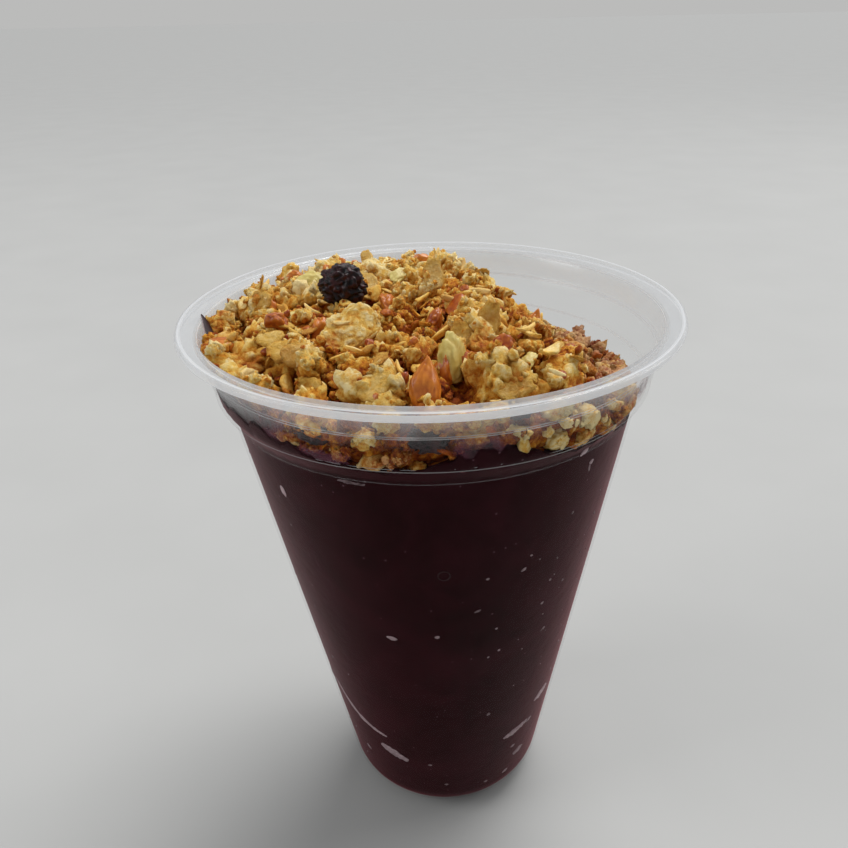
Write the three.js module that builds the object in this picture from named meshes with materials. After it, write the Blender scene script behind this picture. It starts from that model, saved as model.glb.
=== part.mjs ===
// A tapered, thin-walled plastic cup of dark acai cream under a heap of granola with one raisin on top.
// Millimetres, +Z up. The origin is on the cup's axis, in the plane its foot ring stands on.
import * as THREE from 'three';

// ---- driving dimensions -------------------------------------------------------------------------
const SEGMENTS = 60;            // sides of every round piece, so that neighbours facet alike
const GAP = 0.3;                // space kept between touching pieces
const WALL = 0.6;               // thickness of the cup's wall

const CUP_HEIGHT = 123.8;
const LIP_RADIUS = 47.5;        // outermost edge of the lip
const LIP_TOP_RADIUS = 46.7;    // where the flat top of the lip turns down
const LIP_DEPTH = 1.5;          // height of the lip's folded edge
const MOUTH_RADIUS = 43.85;     // inner edge of the lip
const NECK_RADIUS = 44.1;       // outside of the short neck under the lip
const RING_RADIUS = 43.4;       // outside, at the faint ring under the neck
const RING_Z = 118.05;
const SHOULDER_TOP_RADIUS = 42.15;
const SHOULDER_TOP_Z = 111.1;
const SHOULDER_LOW_RADIUS = 40.1;
const SHOULDER_LOW_Z = 107.75;
const BASE_RADIUS = 25.15;      // the taper carried down to where the base's round starts
const BASE_ROUND = 10.2;        // radius of the round between the taper and the foot
const FOOT_INNER_RADIUS = 11.6; // inside of the flat foot ring
const FOOT_RECESS = 1.3;        // how far the middle of the base stands above the foot ring

const ACAI_LEVEL = 110.4;       // level of the acai where the granola begins
const ACAI_LOW = 4.2;           // how much lower it lies on the side where the granola has sunk
const HEAP_LEVEL = 124.0;       // level of the middle of the granola
const HEAP_CROWN = 2.3;         // extra height of the crown, left of the middle and towards the back
const HEAP_LOW_LEVEL = 109.2;   // level of the granola on the sunken side
const SUNKEN_BEARING = 20;      // degrees from +X in which the granola falls away
const SUNKEN_START = 13;        // distances along that bearing between which it falls
const SUNKEN_END = 29;

const RAISIN_X = -16.6;
const RAISIN_Y = 2.4;
const RAISIN_NEST = 2.8;        // depth of the hollow it lies in
const RAISIN_LENGTH = 9.4;
const RAISIN_DEPTH = 7.6;
const RAISIN_HEIGHT = 7.2;

// ---- small helpers ------------------------------------------------------------------------------
const rad = (degrees) => degrees * Math.PI / 180;
const mix = (a, b, t) => a + (b - a) * t;
const clamp01 = (t) => Math.min(1, Math.max(0, t));
const smoothstep = (a, b, x) => { const t = clamp01((x - a) / (b - a)); return t * t * (3 - 2 * t); };
const bump = (distance, width) => Math.exp(-(distance * distance) / (2 * width * width));
const turnBetween = (a, b) => Math.abs(Math.atan2(Math.sin(rad(a - b)), Math.cos(rad(a - b)))) * 180 / Math.PI;

// ---- cup ----------------------------------------------------------------------------------------
// The outside, from the middle of the base to the underside of the lip.
function outerWall() {
  const points = [[0, FOOT_RECESS], [FOOT_INNER_RADIUS - 2.2, FOOT_RECESS], [FOOT_INNER_RADIUS - 0.7, 0.5]];
  points.push([FOOT_INNER_RADIUS, 0]);
  // The base's round meets the foot level and meets the taper at the taper's own slope.
  const slope = Math.atan2(SHOULDER_LOW_RADIUS - BASE_RADIUS, SHOULDER_LOW_Z - BASE_ROUND);
  const centreRadius = BASE_RADIUS - BASE_ROUND;
  const steps = 6;
  for (let i = 0; i <= steps; i += 1) {
    const a = mix(-Math.PI / 2, -slope, i / steps);
    points.push([centreRadius + BASE_ROUND * Math.cos(a), BASE_ROUND + BASE_ROUND * Math.sin(a)]);
  }
  points.push([mix(BASE_RADIUS, SHOULDER_LOW_RADIUS, 0.5), mix(BASE_ROUND, SHOULDER_LOW_Z, 0.5)]);
  points.push([SHOULDER_LOW_RADIUS, SHOULDER_LOW_Z], [SHOULDER_TOP_RADIUS, SHOULDER_TOP_Z]);
  points.push([RING_RADIUS - 0.2, RING_Z - 0.4], [RING_RADIUS + 0.15, RING_Z + 0.3]);
  points.push([NECK_RADIUS, CUP_HEIGHT - LIP_DEPTH - 0.4]);
  return points;
}

// The wall's inside at height z: the same run of slopes, one wall thickness in.
function insideRadius(z) {
  const run = outerWall().filter(([, height], i) => i > 3 && height >= 0);
  for (let i = 1; i < run.length; i += 1) {
    if (z <= run[i][1]) {
      const t = clamp01((z - run[i - 1][1]) / (run[i][1] - run[i - 1][1]));
      return mix(run[i - 1][0], run[i][0], t) - WALL;
    }
  }
  return MOUTH_RADIUS - 0.25;
}

function cupGeometry() {
  const outer = outerWall();
  const lip = [
    [NECK_RADIUS + 0.5, CUP_HEIGHT - LIP_DEPTH],
    [LIP_RADIUS - 0.5, CUP_HEIGHT - LIP_DEPTH],
    [LIP_RADIUS - 0.05, CUP_HEIGHT - LIP_DEPTH + 0.4],
    [LIP_RADIUS, CUP_HEIGHT - 0.7],
    [LIP_RADIUS - 0.2, CUP_HEIGHT - 0.3],
    [LIP_TOP_RADIUS, CUP_HEIGHT],
    [MOUTH_RADIUS + 0.25, CUP_HEIGHT - 0.05],
    [MOUTH_RADIUS, CUP_HEIGHT - 0.45],
  ];
  const inner = [];
  inner.push([NECK_RADIUS - WALL, CUP_HEIGHT - LIP_DEPTH - 0.7]);
  inner.push([RING_RADIUS + 0.15 - WALL, RING_Z + 0.4], [RING_RADIUS - 0.2 - WALL, RING_Z - 0.3]);
  inner.push([SHOULDER_TOP_RADIUS - WALL, SHOULDER_TOP_Z + 0.25]);
  inner.push([SHOULDER_LOW_RADIUS - WALL, SHOULDER_LOW_Z + 0.25]);
  inner.push([mix(BASE_RADIUS, SHOULDER_LOW_RADIUS, 0.5) - WALL, mix(BASE_ROUND, SHOULDER_LOW_Z, 0.5)]);
  const slope = Math.atan2(SHOULDER_LOW_RADIUS - BASE_RADIUS, SHOULDER_LOW_Z - BASE_ROUND);
  const centreRadius = BASE_RADIUS - BASE_ROUND;
  const innerRound = BASE_ROUND - WALL;
  const steps = 6;
  for (let i = steps; i >= 0; i -= 1) {
    const a = mix(-Math.PI / 2, -slope, i / steps);
    inner.push([centreRadius + innerRound * Math.cos(a), BASE_ROUND + innerRound * Math.sin(a)]);
  }
  inner.push([FOOT_INNER_RADIUS - 0.5, WALL + 0.5], [FOOT_INNER_RADIUS - 1.8, FOOT_RECESS + WALL]);
  inner.push([0, FOOT_RECESS + WALL]);
  const profile = [...outer, ...lip, ...inner].map(([r, z]) => new THREE.Vector2(r, z));
  const geometry = new THREE.LatheGeometry(profile, SEGMENTS);
  geometry.rotateX(Math.PI / 2);
  return geometry;
}

// ---- levels of the food -------------------------------------------------------------------------
const sunken = (x, y) => smoothstep(SUNKEN_START, SUNKEN_END,
  x * Math.cos(rad(SUNKEN_BEARING)) + y * Math.sin(rad(SUNKEN_BEARING)));

// The acai's top: nearly level, lower on the sunken side, drawn up the wall in two places.
function acaiTop(x, y) {
  const r = Math.hypot(x, y);
  const bearing = Math.atan2(y, x) * 180 / Math.PI;
  const nearWall = smoothstep(28, 40, r);
  let z = ACAI_LEVEL - ACAI_LOW * sunken(x, y);
  z += 4.6 * nearWall * bump(turnBetween(bearing, -77), 8);
  z += 3.6 * nearWall * bump(turnBetween(bearing, -145), 20);
  z += 0.5 * Math.sin(0.21 * x + 0.8) * Math.cos(0.17 * y - 0.4) * smoothstep(0, 12, r);
  return z;
}

// The granola's top: a broad crown, lower towards the wall, with lumps as large as its clusters.
const LUMPS = [
  // x, y, width, height of single large clusters
  [-14, -8, 4.4, 1.5], [-31, -12, 5.0, 1.6], [10, -26, 5.2, 1.7], [-8, -27, 4.6, 1.4], [8, 3, 4.6, 1.6],
  [-23, 22, 4.5, 0.9], [-8, 25, 4.6, 0.7], [-30, 9, 4.4, 1.2], [-22, -24, 4.8, 1.0], [4, 17, 4.2, 1.2],
  [22, -24, 4.2, 1.3], [27, 8, 4.4, 0.9], [34, -6, 4.0, 0.8], [20, 28, 4.2, 0.6], [2, -14, 4.0, 0.9],
];
function heapTop(x, y) {
  const r = Math.hypot(x, y);
  const bearing = Math.atan2(y, x) * 180 / Math.PI;
  const edge = (r / 43) ** 5;
  const edgeDrop = 4.4 - 1.2 * smoothstep(100, 20, turnBetween(bearing, 120));
  let z = HEAP_LEVEL + HEAP_CROWN * bump(Math.hypot(x + 9, y - 12), 17) - edgeDrop * edge;
  z = mix(z, HEAP_LOW_LEVEL, sunken(x, y));
  for (const [cx, cy, width, height] of LUMPS) z += height * bump(Math.hypot(x - cx, y - cy), width);
  z -= RAISIN_NEST * bump(Math.hypot(x - RAISIN_X, y - RAISIN_Y), 4.2);
  z += 0.35 * Math.sin(0.62 * x + 0.3) * Math.sin(0.55 * y + 1.1) * smoothstep(0, 8, r);
  return z;
}

// A closed solid from rings of points stacked between a lower and an upper middle point. The first
// few bands can be split along their other diagonal, to lie parallel to a neighbour's bands.
function ringSolid(lowCentre, rings, highCentre, turnedBands = 0) {
  const positions = [...lowCentre];
  for (const ring of rings) for (const point of ring) positions.push(...point);
  positions.push(...highCentre);
  const index = [];
  const at = (ring, j) => 1 + ring * SEGMENTS + (j % SEGMENTS);
  const last = positions.length / 3 - 1;
  for (let j = 0; j < SEGMENTS; j += 1) {
    index.push(0, at(0, j + 1), at(0, j));
    index.push(last, at(rings.length - 1, j), at(rings.length - 1, j + 1));
    for (let i = 0; i + 1 < rings.length; i += 1) {
      const turned = i < turnedBands;
      index.push(at(i, j), at(i, j + 1), at(i + 1, turned ? j : j + 1));
      index.push(at(i, turned ? j + 1 : j), at(i + 1, j + 1), at(i + 1, j));
    }
  }
  const geometry = new THREE.BufferGeometry();
  geometry.setAttribute('position', new THREE.Float32BufferAttribute(positions, 3));
  geometry.setIndex(index);
  geometry.computeVertexNormals();
  return geometry;
}

function ringOf(place) {
  const ring = [];
  for (let j = 0; j < SEGMENTS; j += 1) {
    const a = (j / SEGMENTS) * 2 * Math.PI;
    ring.push(place(Math.cos(a), Math.sin(a)));
  }
  return ring;
}

// The height at which a level surface meets the wall's inside in one direction.
function levelAtWall(level, c, s, inset) {
  let z = level(40 * c, 40 * s);
  for (let i = 0; i < 6; i += 1) {
    const r = insideRadius(z) - inset;
    z = level(r * c, r * s);
  }
  return z;
}

// ---- acai ---------------------------------------------------------------------------------------
// Fills the cup from the base to its own uneven top.
const ACAI_TOP_RADII = [37.5, 34, 29, 22, 15, 8];
function acaiGeometry() {
  const floor = FOOT_RECESS + WALL + GAP;
  const rings = [ringOf((c, s) => [(FOOT_INNER_RADIUS - 1.6) * c, (FOOT_INNER_RADIUS - 1.6) * s, floor])];
  const centreRadius = BASE_RADIUS - BASE_ROUND;
  rings.push(ringOf((c, s) => [(centreRadius + 1) * c, (centreRadius + 1) * s, WALL + GAP + 0.12]));
  const round = BASE_ROUND - WALL - GAP;
  const slope = Math.atan2(SHOULDER_LOW_RADIUS - BASE_RADIUS, SHOULDER_LOW_Z - BASE_ROUND);
  for (const t of [0.25, 0.5, 0.75, 1]) {
    const a = mix(-Math.PI / 2, -slope, t);
    const r = centreRadius + round * Math.cos(a) - 0.06;
    rings.push(ringOf((c, s) => [r * c, r * s, BASE_ROUND + round * Math.sin(a)]));
  }
  for (const z of [mix(BASE_ROUND, SHOULDER_LOW_Z, 0.5), 103.0]) {
    const r = insideRadius(z) - GAP;
    rings.push(ringOf((c, s) => [r * c, r * s, z]));
  }
  // Above the straight taper: a ring at the foot of the shoulder, one half way on, and the top edge.
  const wallTop = (c, s) => levelAtWall(acaiTop, c, s, GAP + 0.15);
  const foot = (c, s) => Math.min(SHOULDER_LOW_Z, mix(103.0, wallTop(c, s), 0.6));
  for (const t of [0, 0.5, 1]) {
    rings.push(ringOf((c, s) => {
      const z = mix(foot(c, s), wallTop(c, s), t);
      const r = insideRadius(z) - GAP - 0.15;
      return [r * c, r * s, z];
    }));
  }
  for (const r of ACAI_TOP_RADII) rings.push(ringOf((c, s) => [r * c, r * s, acaiTop(r * c, r * s)]));
  return ringSolid([0, 0, floor], rings, [0, 0, acaiTop(0, 0)]);
}

// ---- granola ------------------------------------------------------------------------------------
// One heap out to its uneven outline, on the acai and against the wall.
const HEAP_INSET = GAP + 0.35;
function granolaGeometry() {
  const seat = (c, s) => levelAtWall(acaiTop, c, s, GAP + 0.15) + GAP + 0.2;
  const under = (c, s, r) => [r * c, r * s, acaiTop(r * c, r * s) + GAP + 0.1];
  const rings = [...ACAI_TOP_RADII].reverse().map((r) => ringOf((c, s) => under(c, s, r)));
  const crest = (c, s) => Math.max(levelAtWall(heapTop, c, s, HEAP_INSET), seat(c, s) + 1.5);
  for (const t of [0, 0.2, 0.45, 0.7, 1]) {
    rings.push(ringOf((c, s) => {
      const z = mix(seat(c, s), crest(c, s), t);
      const r = Math.min(insideRadius(z), insideRadius(z - 1.2) + 0.45) - HEAP_INSET;
      return [r * c, r * s, z];
    }));
  }
  for (const r of [39, 35.5, 32, 28.5, 25, 21, 17, 13, 9, 4.5]) {
    rings.push(ringOf((c, s) => [r * c, r * s, heapTop(r * c, r * s)]));
  }
  return ringSolid(under(0, 0, 0), rings, [0, 0, heapTop(0, 0)], ACAI_TOP_RADII.length);
}

// ---- raisin -------------------------------------------------------------------------------------
// A wrinkled oval lying on the heap, lifted until it clears the granola by the gap.
function raisinGeometry() {
  const geometry = new THREE.SphereGeometry(1, 20, 12);
  geometry.rotateX(Math.PI / 2);
  const p = geometry.attributes.position;
  let lift = -Infinity;
  for (let i = 0; i < p.count; i += 1) {
    const x = p.getX(i);
    const y = p.getY(i);
    const z = p.getZ(i);
    const along = Math.atan2(y, x);
    const fold = 1 - 0.07 * Math.cos(5 * along + 2 * z) * (1 - z * z) - 0.05 * Math.sin(3.1 * z + 1);
    const place = [x * fold * RAISIN_LENGTH / 2, y * fold * RAISIN_DEPTH / 2, z * fold * RAISIN_HEIGHT / 2];
    p.setXYZ(i, ...place);
    lift = Math.max(lift, heapTop(RAISIN_X + place[0], RAISIN_Y + place[1]) - place[2]);
  }
  geometry.translate(RAISIN_X, RAISIN_Y, lift + GAP);
  geometry.computeVertexNormals();
  return geometry;
}

// ---- the scene graph ----------------------------------------------------------------------------
const plastic = new THREE.MeshStandardMaterial({
  color: 0xdfe3e6, roughness: 0.25, metalness: 0, transparent: true, opacity: 0.4,
});
const acaiCream = new THREE.MeshStandardMaterial({ color: 0x2a1418, roughness: 0.5, metalness: 0 });
const granolaCrumb = new THREE.MeshStandardMaterial({ color: 0xb9873f, roughness: 0.85, metalness: 0 });
const raisinSkin = new THREE.MeshStandardMaterial({ color: 0x15090d, roughness: 0.45, metalness: 0 });

function named(name, geometry, material) {
  const mesh = new THREE.Mesh(geometry, material);
  mesh.name = name;
  return mesh;
}

const group = new THREE.Group();
group.add(named('cup', cupGeometry(), plastic));
group.add(named('acai', acaiGeometry(), acaiCream));
group.add(named('granola', granolaGeometry(), granolaCrumb));
group.add(named('raisin', raisinGeometry(), raisinSkin));

export default group;
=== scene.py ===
# A tapered, thin-walled polypropylene cup of dark acai cream, heaped with baked granola and one
# raisin on top. Everything is in metres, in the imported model's frame, and sizes named *_MM are in mm.
import math
import random

import bmesh
import bpy
import numpy as np
from mathutils import Euler, Matrix, Vector, noise
from mathutils.bvhtree import BVHTree


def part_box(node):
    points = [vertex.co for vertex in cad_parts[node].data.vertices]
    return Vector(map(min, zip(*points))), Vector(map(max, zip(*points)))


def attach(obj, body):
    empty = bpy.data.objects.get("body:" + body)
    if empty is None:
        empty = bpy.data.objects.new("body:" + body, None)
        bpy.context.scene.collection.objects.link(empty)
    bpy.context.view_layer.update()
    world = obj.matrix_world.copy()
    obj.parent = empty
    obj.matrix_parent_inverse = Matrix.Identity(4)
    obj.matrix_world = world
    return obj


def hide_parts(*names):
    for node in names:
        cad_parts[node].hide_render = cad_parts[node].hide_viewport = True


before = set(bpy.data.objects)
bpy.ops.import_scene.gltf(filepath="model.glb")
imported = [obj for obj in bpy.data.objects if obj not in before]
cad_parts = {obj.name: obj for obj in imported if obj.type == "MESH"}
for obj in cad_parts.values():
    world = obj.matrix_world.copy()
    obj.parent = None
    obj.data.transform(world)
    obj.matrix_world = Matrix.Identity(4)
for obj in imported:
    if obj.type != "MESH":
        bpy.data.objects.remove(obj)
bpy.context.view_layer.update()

MM = 0.001
cup_low, cup_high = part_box("cup")
heap_low, heap_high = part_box("granola")
raisin_low, raisin_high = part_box("raisin")

# ---- Camera ------------------------------------------------------------------------------------
# A close, wide view from in front and above, as over a counter, aimed a little right of the cup's
# axis. The frame is shifted so that the cup sits low and right of the lens's axis.
def add_object(name, data):
    """An object in the scene, at the origin."""
    obj = bpy.data.objects.new(name, data)
    bpy.context.scene.collection.objects.link(obj)
    return obj


CAMERA_BACK_MM = 140.96
CAMERA_ABOVE_RIM_MM = 46.4
CAMERA_TURN_RIGHT = 1.40
CAMERA_TILT_DOWN = 33.19
CAMERA_ROLL = -1.2
camera_data = bpy.data.cameras.new("camera")
camera_data.sensor_width = 36.0
camera_data.lens = 31.81
camera_data.shift_x = -0.0354
camera_data.shift_y = 0.0943
camera_data.clip_start = 0.005
camera = add_object("camera", camera_data)
camera.location = (0.0, -CAMERA_BACK_MM * MM, cup_high.z + CAMERA_ABOVE_RIM_MM * MM)
aim = Matrix.Rotation(math.radians(-CAMERA_TURN_RIGHT), 3, "Z") \
    @ Matrix.Rotation(math.radians(90 - CAMERA_TILT_DOWN), 3, "X") \
    @ Matrix.Rotation(math.radians(CAMERA_ROLL), 3, "Z")
camera.rotation_euler = aim.to_euler("XYZ")
bpy.context.scene.camera = camera

# ---- Floor and studio light --------------------------------------------------------------------
# A plain pale studio floor, painted matt board, that runs out of view on every side, under a soft
# overhead light and a soft box on each side. The helpers for materials and pieces start here.
def linear(hex_colour):
    """A colour written as sRGB hex, as the linear numbers that shaders take."""
    channels = [int(hex_colour[i:i + 2], 16) / 255 for i in (1, 3, 5)]
    return tuple(c / 12.92 if c <= 0.04045 else ((c + 0.055) / 1.055) ** 2.4 for c in channels) + (1.0,)


def add_node(tree, kind, settings=None, inputs=None):
    """Adds a shader node with its settings, and sets or links its inputs; a colour may be hex."""
    node = tree.nodes.new(kind)
    for name, value in (settings or {}).items():
        setattr(node, name, value)
    for name, value in (inputs or {}).items():
        if isinstance(value, bpy.types.NodeSocket):
            tree.links.new(value, node.inputs[name])
        else:
            node.inputs[name].default_value = linear(value) if isinstance(value, str) else value
    return node


def calc(tree, operation, *values, clamp=False):
    """A sum, product or power of numbers and sockets; MULTIPLY_ADD is the first by the second plus the third."""
    node = add_node(tree, "ShaderNodeMath", {"operation": operation, "use_clamp": clamp}, dict(enumerate(values)))
    return node.outputs["Value"]


def map_range(tree, value, low, high, to_low=0.0, to_high=1.0):
    """A value's share of the way from low to high, or what that share comes to between two others."""
    node = add_node(tree, "ShaderNodeMapRange", inputs={
        "Value": value, "From Min": low, "From Max": high, "To Min": to_low, "To Max": to_high})
    return node.outputs["Result"]


def noise_share(tree, place, scale, detail, roughness=0.5, distortion=0.0):
    """Noise from 0 to 1. Its scale is one over the size in metres of what it draws."""
    inputs = {"Scale": scale, "Detail": detail, "Roughness": roughness, "Distortion": distortion}
    if place:
        inputs["Vector"] = place
    return add_node(tree, "ShaderNodeTexNoise", inputs=inputs).outputs["Fac"]


def ramp(tree, share, stops):
    """The colour at a share along stops of (share, colour); a colour is hex or four numbers."""
    node = add_node(tree, "ShaderNodeValToRGB", inputs={"Fac": share})
    marks = node.color_ramp.elements
    while len(marks) < len(stops):
        marks.new(0.5)
    for i, (at, colour) in enumerate(stops):
        marks[i].position = at
        marks[i].color = linear(colour) if isinstance(colour, str) else colour
    return node.outputs["Color"]


def mix_colours(tree, share, first, second):
    """The first colour turning into the second as the share grows."""
    return add_node(tree, "ShaderNodeMix", {"data_type": "RGBA"}, {0: share, 6: first, 7: second}).outputs[2]


def mix_shaders(tree, share, first, second):
    """The first shader turning into the second as the share grows."""
    return add_node(tree, "ShaderNodeMixShader", inputs={0: share, 1: first, 2: second}).outputs["Shader"]


def attribute(tree, name):
    """What the mesh's points say under a name."""
    return add_node(tree, "ShaderNodeAttribute", {"attribute_name": name}).outputs["Fac"]


def bump(tree, height, strength, distance_mm):
    """Normals bent by a height."""
    return add_node(tree, "ShaderNodeBump", inputs={
        "Strength": strength, "Distance": distance_mm * MM, "Height": height}).outputs["Normal"]


def body(tree, colour, roughness, more=None):
    """An ordinary solid surface, with any further inputs by name."""
    return add_node(tree, "ShaderNodeBsdfPrincipled", inputs={
        "Base Color": colour, "Roughness": roughness, **(more or {})}).outputs["BSDF"]


def new_material(name):
    """An empty material, its node tree, and the place in the object, in metres."""
    material = bpy.data.materials.new(name)
    material.use_nodes = True
    material.node_tree.nodes.clear()
    return material, material.node_tree, add_node(material.node_tree, "ShaderNodeTexCoord").outputs["Object"]


def show(tree, shader):
    """Makes a shader the material's surface."""
    add_node(tree, "ShaderNodeOutputMaterial", inputs={"Surface": shader})


def mesh_from(bm, name):
    """Turns a bmesh into a mesh."""
    mesh = bpy.data.meshes.new(name)
    bm.to_mesh(mesh)
    bm.free()
    return mesh


def piece_from(mesh, material, smooth=True):
    """Turns a mesh into an object of its own at the origin."""
    mesh.polygons.foreach_set("use_smooth", [smooth] * len(mesh.polygons))
    mesh.materials.append(material)
    return add_object(mesh.name, mesh)


board, tree, _ = new_material("matt painted board")
show(tree, body(tree, ramp(tree, noise_share(tree, None, 900.0, 3.0), ((0, "#B0B0AE"), (1, "#B8B8B6"))), 0.8))
FLOOR_HALF_M = 30.0
bm = bmesh.new()
bmesh.ops.create_grid(bm, x_segments=1, y_segments=1, size=FLOOR_HALF_M)
floor = piece_from(mesh_from(bm, "floor"), board, smooth=False)

world = bpy.data.worlds.new("studio")
world.use_nodes = True
tree = world.node_tree
sky = tree.nodes["Background"]
sky.inputs["Color"].default_value = linear("#EBEDF0")
sky.inputs["Strength"].default_value = 0.42
# The eye sees the far studio wall as pale as the floor, while the room light stays softer than that.
wall_seen = add_node(tree, "ShaderNodeBackground", inputs={"Color": "#BBBBBA", "Strength": 1.0})
who_looks = add_node(tree, "ShaderNodeLightPath")
studio = mix_shaders(tree, who_looks.outputs["Is Camera Ray"], sky.outputs[0], wall_seen.outputs[0])
tree.links.new(studio, tree.nodes["World Output"].inputs["Surface"])
bpy.context.scene.world = world

overhead = bpy.data.lights.new("overhead", "SUN")
overhead.energy = 2.35
overhead.angle = math.radians(38)
overhead_light = add_object("overhead", overhead)
overhead_light.rotation_euler = Vector((0.30, 0.42, 1.0)).to_track_quat("Z", "Y").to_euler()
# Each soft box: name, place in m, watts. Both face the cup's middle.
CUP_MIDDLE = Vector((0, 0, 0.10))
for name, spot, watts in (("left_side", (-1.30, -0.25, 0.85), 6.0), ("right_side", (1.30, 0.35, 0.80), 5.0)):
    lamp = bpy.data.lights.new(name, "AREA")
    lamp.shape = "RECTANGLE"
    lamp.size, lamp.size_y = 0.60, 0.90
    lamp.energy = watts
    box = add_object(name, lamp)
    box.location = spot
    box.rotation_euler = (CUP_MIDDLE - Vector(spot)).to_track_quat("-Z", "Y").to_euler()
bpy.context.scene.view_settings.view_transform = "Standard"

# ---- Cup ---------------------------------------------------------------------------------------
# The disposable cup: one thermoformed polypropylene shell 0.6 mm thick, with a foot ring, a long
# taper, a stepped shoulder, two fine stacking rings and a folded lip with a raised outer bead.
CUP_HEIGHT_MM = cup_high.z / MM
LIP_RADIUS_MM = cup_high.x / MM
CUP_ROUND_STEPS = 180
FOOT_INNER_MM, FOOT_OUTER_MM, FOOT_RECESS_MM = 11.6, 14.95, 1.3
BASE_ROUND_MM = 10.2
TAPER_ANGLE = math.atan2(40.1 - 25.15, 107.75 - 10.2)
WALL_MM = 0.6


def base_round(radius_mm, steps):
    """The quarter round between the foot ring and the taper, outside or inside the wall."""
    ends = (-math.pi / 2, -TAPER_ANGLE)
    angles = [ends[0] + (ends[1] - ends[0]) * i / steps for i in range(steps + 1)]
    return [(FOOT_OUTER_MM + radius_mm * math.cos(a), BASE_ROUND_MM + radius_mm * math.sin(a)) for a in angles]


outside = [(0, FOOT_RECESS_MM), (9.4, FOOT_RECESS_MM), (10.9, 0.5), (FOOT_INNER_MM, 0)]
outside += base_round(BASE_ROUND_MM, 14)
outside += [(40.1, 107.75), (42.15, 111.1), (42.3, 111.5), (43.2, 117.6), (43.55, 118.0), (43.6, 118.45)]
# The lip's points: radius, and how far below the cup's top.
lip = [(r, CUP_HEIGHT_MM - down) for r, down in (
    (44.1, 2.1), (44.5, 1.5), (46.9, 1.5), (47.4, 1.15), (LIP_RADIUS_MM, 0.7), (47.3, 0.2),
    (46.8, 0.0), (46.35, 0.05), (46.0, 0.28), (44.3, 0.12), (43.9, 0.45))]
WALL_INSIDE = [(24.44, 8.75), (39.5, 108.0), (41.5, 111.3), (41.68, 111.7), (42.55, 117.4),
               (42.9, 118.0), (42.98, 118.5), (43.5, 121.4), (43.85, 123.35)]
inside = list(reversed(WALL_INSIDE)) + list(reversed(base_round(BASE_ROUND_MM - WALL_MM, 14)))[1:]
inside += [(FOOT_INNER_MM - 0.5, WALL_MM + 0.5), (FOOT_INNER_MM - 1.8, FOOT_RECESS_MM + WALL_MM)]
inside += [(0, FOOT_RECESS_MM + WALL_MM)]


def spin_profile(profile_mm, steps, corner_mm, corners):
    """Spins a profile of (radius, height) points about the cup's axis, with chosen corners rounded."""
    bm = bmesh.new()
    verts = [bm.verts.new((r * MM, 0, z * MM)) for r, z in profile_mm]
    for a, b in zip(verts, verts[1:]):
        bm.edges.new((a, b))
    sharp = [v for v, point in zip(verts, profile_mm) if point in corners]
    bmesh.ops.bevel(bm, geom=sharp, offset=corner_mm * MM, affect="VERTICES", segments=3, profile=0.5, material=-1)
    bmesh.ops.spin(bm, geom=bm.verts[:] + bm.edges[:], cent=(0, 0, 0), axis=(0, 0, 1),
                   angle=2 * math.pi, steps=steps, use_merge=True)
    bmesh.ops.remove_doubles(bm, verts=bm.verts[:], dist=1e-6)
    bmesh.ops.recalc_face_normals(bm, faces=bm.faces[:])
    return bm


# Clear thin walls that turn milky where the eye meets them at a slant, and a milky folded lip.
polypropylene, tree, place = new_material("thermoformed polypropylene, clear to milky")
polypropylene.blend_method = "HASHED"
height = add_node(tree, "ShaderNodeSeparateXYZ", inputs={"Vector": place}).outputs["Z"]
# Thick places are milky: the folded lip's bead and lower edge, the stacking ring and the creases.
# The milkiest bands there also stand in for the highlights that these edges catch: painted highlight.
HAZE_LOW_MM, HAZE_HIGH_MM = 107.0, CUP_HEIGHT_MM + 0.2
# Height in mm and share of haze, and then how far below the cup's top and share of haze.
MILK_AND_HIGHLIGHT_HEIGHTS = [(107.85, 0.0), (108.0, 0.26), (108.15, 0.0), (111.25, 0.0), (111.42, 0.50), (111.6, 0.0),
                 (117.45, 0.0), (117.7, 0.48), (118.0, 0.06), (120.5, 0.13)]
MILK_AND_HIGHLIGHT_HEIGHTS += [(CUP_HEIGHT_MM - down, share) for down, share in (
    (1.65, 0.10), (1.5, 0.28), (1.45, 0.85), (1.3, 0.75), (1.1, 0.12), (0.55, 0.09), (0.35, 0.13), (0.08, 0.16),
    (0.0, 0.85))]
milk_and_highlight_share = ramp(tree, map_range(tree, height, HAZE_LOW_MM * MM, HAZE_HIGH_MM * MM),
                 [((z - HAZE_LOW_MM) / (HAZE_HIGH_MM - HAZE_LOW_MM), (share, share, share, 1.0))
                  for z, share in MILK_AND_HIGHLIGHT_HEIGHTS])
# Where the acai wets the wall its haze and its inner gloss are gone; above, the wall is free.
free_wall = map_range(tree, height, 115 * MM, 120 * MM)
streaks = add_node(tree, "ShaderNodeMapping", inputs={"Vector": place, "Scale": (1.0, 1.0, 0.25)}).outputs["Vector"]
flat_haze = calc(tree, "MULTIPLY", noise_share(tree, streaks, 140.0, 4.0, 0.6), calc(tree, "MULTIPLY", free_wall, 0.06))
slant = add_node(tree, "ShaderNodeLayerWeight", inputs={"Blend": 0.5}).outputs["Facing"]
slant_haze = calc(tree, "MULTIPLY", calc(tree, "POWER", slant, 3.2), calc(tree, "MULTIPLY_ADD", free_wall, 0.18, 0.01))
# The haze holds the painted highlight bands of the lip and the rings.
haze_and_highlight = calc(tree, "ADD", calc(tree, "ADD", flat_haze, slant_haze), milk_and_highlight_share, clamp=True)
relief = bump(tree, noise_share(tree, place, 220.0, 2.0), 0.10, 0.4)
clear = add_node(tree, "ShaderNodeBsdfTransparent", inputs={"Color": "#FBFBFB"}).outputs["BSDF"]
gloss = add_node(tree, "ShaderNodeBsdfAnisotropic", inputs={
    "Color": "#FFFFFF", "Roughness": 0.14, "Normal": relief}).outputs["BSDF"]
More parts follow.
